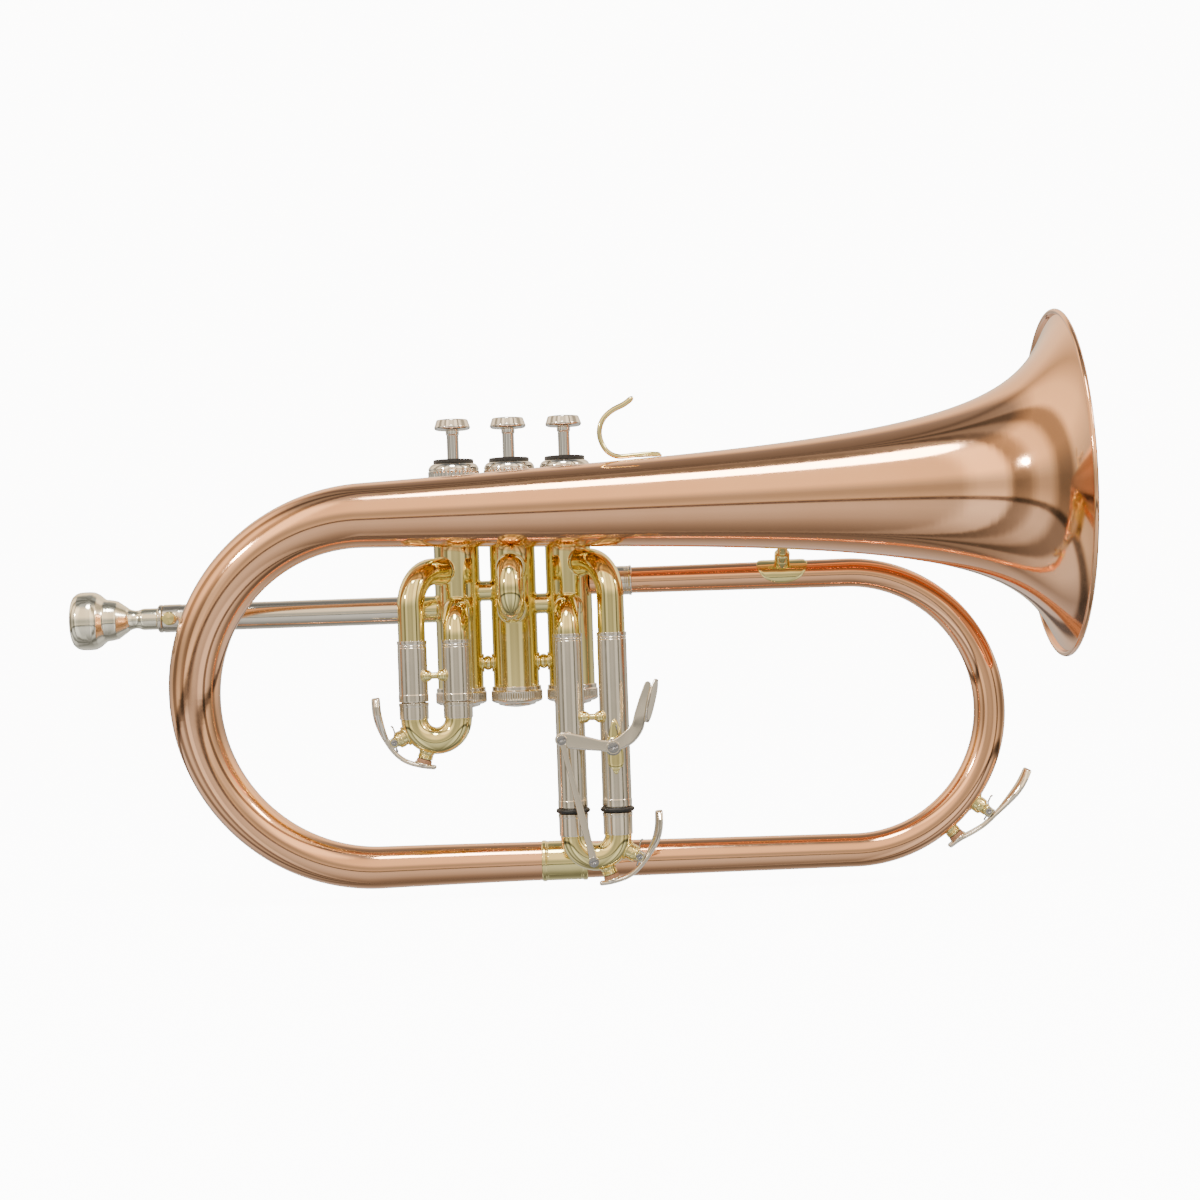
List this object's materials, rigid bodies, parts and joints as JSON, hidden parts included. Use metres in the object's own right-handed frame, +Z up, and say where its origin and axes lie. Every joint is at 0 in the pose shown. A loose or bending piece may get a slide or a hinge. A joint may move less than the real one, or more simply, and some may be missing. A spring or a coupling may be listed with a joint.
{
  "type": "flugelhorn",
  "caption": "Flugelhorn with three piston valves, a conical rose-brass bell and bows, nickel slides, a third-slide trigger, water keys and a mouthpiece.",
  "frame": {"origin": "on the middle valve's axis at the height of the mouthpipe's axis, where the left hand holds the valve block", "axes": "+X to the bell's mouth, +Z up along the valves, -Y to the player's right, where the bell tube passes"},
  "size_m": [0.4427, 0.15, 0.247],
  "materials": {
    "rose_brass": "polished rose brass under clear lacquer",
    "yellow_brass": "polished yellow brass under clear lacquer",
    "nickel": "polished nickel silver",
    "silver": "silver plate, polished",
    "felt": "black felt washer",
    "steel": "drawn spring wire"
  },
  "bodies": {
    "root": {"bell": "rose_brass", "bell_brace": "yellow_brass", "bell_stay_1": "yellow_brass", "bell_stay_3": "yellow_brass", "bottom_cap_1": "nickel", "bottom_cap_2": "nickel", "bottom_cap_3": "nickel", "bottom_ferrule": "yellow_brass", "cap_felt_1": "felt", "cap_felt_2": "felt", "cap_felt_3": "felt", "casing_brace_12": "yellow_brass", "casing_brace_23": "yellow_brass", "crossover_tube_12": "yellow_brass", "crossover_tube_23": "yellow_brass", "exit_ferrule": "nickel", "finger_hook": "yellow_brass", "main_tube": "rose_brass", "mouthpipe_sleeve": "nickel", "slide_1_brace": "yellow_brass", "slide_1_left_leg": "nickel", "slide_1_right_leg": "nickel", "slide_2_lower_leg": "yellow_brass", "slide_2_upper_leg": "yellow_brass", "slide_3_brace": "yellow_brass", "slide_3_left_leg": "nickel", "slide_3_right_leg": "nickel", "top_cap_1": "nickel", "top_cap_2": "nickel", "top_cap_3": "nickel", "trigger_saddle": "yellow_brass", "valve_casing_1": "yellow_brass", "valve_casing_2": "yellow_brass", "valve_casing_3": "yellow_brass", "valve_spring_1": "steel", "valve_spring_2": "steel", "valve_spring_3": "steel", "water_key_bow_nipple": "yellow_brass", "water_key_bow_saddle": "yellow_brass"},
    "valve_1": {"piston_1": "nickel", "finger_button_1": "nickel"},
    "valve_2": {"piston_2": "nickel", "finger_button_2": "nickel"},
    "valve_3": {"piston_3": "nickel", "finger_button_3": "nickel"},
    "mouthpipe": {"mouthpipe": "nickel"},
    "mouthpiece": {"mouthpiece": "silver"},
    "lock_screw": {"mouthpipe_lock_screw": "yellow_brass"},
    "slide_1": {"slide_1_crook": "yellow_brass", "water_key_1_nipple": "yellow_brass", "water_key_1_saddle": "yellow_brass"},
    "water_key_1": {"water_key_1_lever": "nickel"},
    "slide_2": {"slide_2_crook": "yellow_brass"},
    "slide_3": {"slide_3_crook": "yellow_brass", "water_key_3_nipple": "yellow_brass", "water_key_3_saddle": "yellow_brass"},
    "water_key_3": {"water_key_3_lever": "nickel"},
    "trigger": {"trigger_lever": "nickel"},
    "trigger_rod": {"trigger_rod": "nickel"},
    "water_key_bow": {"water_key_bow_lever": "nickel"}
  },
  "joints": [
    {"name": "valve_1_press", "type": "slide", "parent": "root", "child": "valve_1", "axis": [0, 0, -1], "range_m": [0, 0.013], "stiffness_N_per_m": 150, "springref_m": -0.015, "deforming": ["valve_spring_1"]},
    {"name": "valve_2_press", "type": "slide", "parent": "root", "child": "valve_2", "axis": [0, 0, -1], "range_m": [0, 0.013], "stiffness_N_per_m": 150, "springref_m": -0.015, "deforming": ["valve_spring_2"]},
    {"name": "valve_3_press", "type": "slide", "parent": "root", "child": "valve_3", "axis": [0, 0, -1], "range_m": [0, 0.013], "stiffness_N_per_m": 150, "springref_m": -0.015, "deforming": ["valve_spring_3"]},
    {"name": "mouthpipe_tune", "type": "slide", "parent": "root", "child": "mouthpipe", "axis": [-1, 0, 0], "range_m": [0, 0.02]},
    {"name": "mouthpiece_pull", "type": "slide", "parent": "mouthpipe", "child": "mouthpiece", "axis": [-1, 0, 0], "range_m": [0, 0.018]},
    {"name": "lock_screw_turn", "type": "hinge", "parent": "root", "child": "lock_screw", "pos_m": [-0.1542, -0.008, 0], "axis": [0, -1, 0], "range_deg": [0, 360]},
    {"name": "slide_1_pull", "type": "slide", "parent": "root", "child": "slide_1", "axis": [0, 0, -1], "range_m": [0, 0.018]},
    {"name": "slide_2_pull", "type": "slide", "parent": "root", "child": "slide_2", "axis": [0, -1, 0], "range_m": [0, 0.01]},
    {"name": "trigger_turn", "type": "hinge", "parent": "root", "child": "trigger", "pos_m": [0.0425, -0.0354, -0.0629], "axis": [0, -1, 0], "range_deg": [0, 30], "stiffness_Nm_per_rad": 0.06, "springref_deg": -34.38},
    {"name": "slide_3_pull", "type": "slide", "parent": "root", "child": "slide_3", "axis": [0, 0, -1], "range_m": [0, 0.0117]},
    {"name": "trigger_rod_turn", "type": "hinge", "parent": "slide_3", "child": "trigger_rod", "pos_m": [0.0324, -0.038, -0.1123], "axis": [0, 1, 0], "range_deg": [0, 0.6]},
    {"name": "water_key_bow_turn", "type": "hinge", "parent": "root", "child": "water_key_bow", "pos_m": [0.21299, 0, -0.10142], "axis": [0, -1, 0], "range_deg": [0, 15], "stiffness_Nm_per_rad": 0.03, "springref_deg": -34.38},
    {"name": "water_key_1_turn", "type": "hinge", "parent": "slide_1", "child": "water_key_1", "pos_m": [-0.05547, -0.025, -0.05914], "axis": [0, 1, 0], "range_deg": [0, 15], "stiffness_Nm_per_rad": 0.03, "springref_deg": -34.38},
    {"name": "water_key_3_turn", "type": "hinge", "parent": "slide_3", "child": "water_key_3", "pos_m": [0.05432, -0.025, -0.11284], "axis": [0, -1, 0], "range_deg": [0, 15], "stiffness_Nm_per_rad": 0.03, "springref_deg": -34.38}
  ],
  "couplings": [
    {"joint": "trigger_turn", "follows": "slide_3_pull", "rad_per_m": 44.703},
    {"joint": "trigger_rod_turn", "follows": "slide_3_pull", "rad_per_m": 0.7331}
  ]
}
